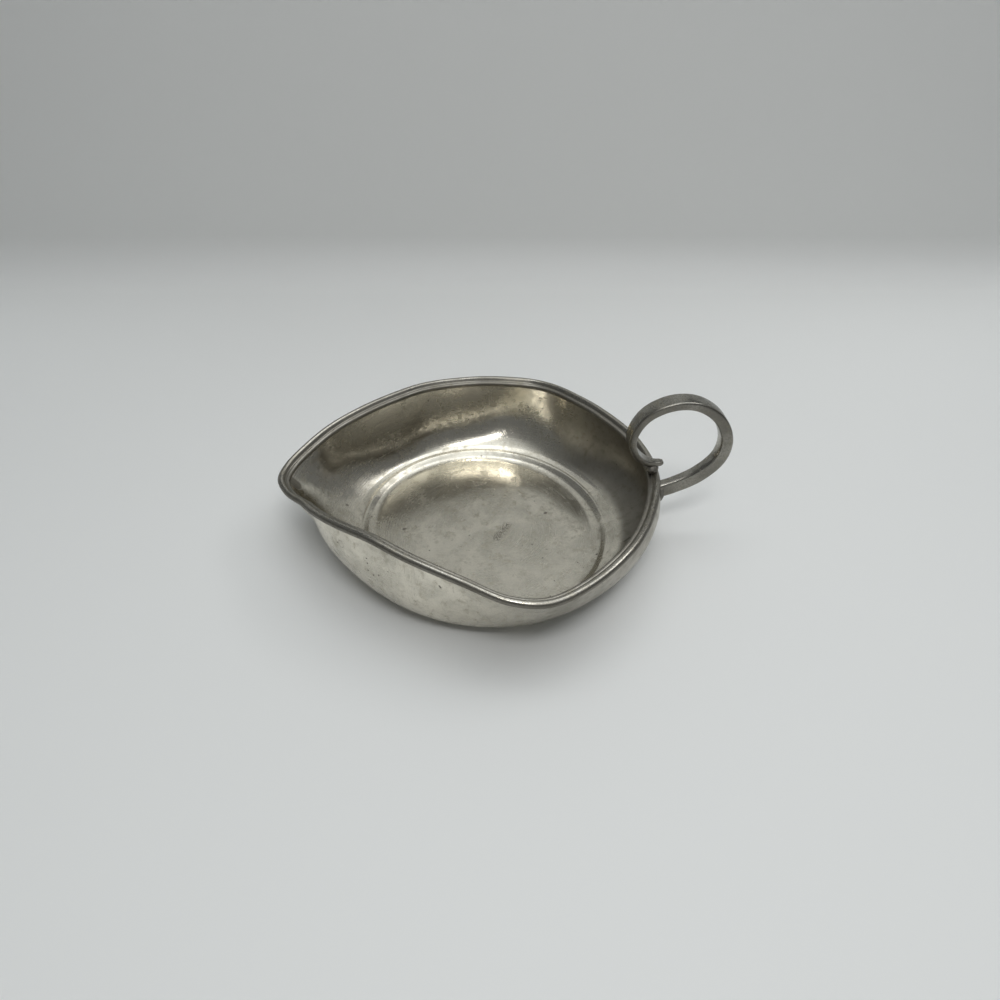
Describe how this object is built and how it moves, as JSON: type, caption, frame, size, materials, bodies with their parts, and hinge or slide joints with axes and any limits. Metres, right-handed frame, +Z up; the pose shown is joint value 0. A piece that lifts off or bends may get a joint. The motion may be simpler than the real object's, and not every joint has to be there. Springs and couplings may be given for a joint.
{
  "type": "nappy bowl",
  "caption": "Small shallow pewter bowl, its round rim pinched into a leaf shape with a pouring tip, with a beaded rim wire and a ring handle for a finger.",
  "frame": {"origin": "middle of the round foot, on the surface that the bowl stands on", "axes": "+Z up, +X from the pouring tip towards the ring handle, +Y towards the side that is further away in the picture"},
  "size_m": [0.1625, 0.129, 0.0595],
  "materials": {
    "spun_pewter": "satin",
    "rim_pewter": "satin",
    "handle_pewter": "satin",
    "solder": "matte"
  },
  "bodies": {
    "root": {"bowl_body": "spun_pewter", "rim_wire": "rim_pewter", "ring_handle": "handle_pewter", "solder_upper": "solder", "solder_lower": "solder"}
  },
  "joints": []
}
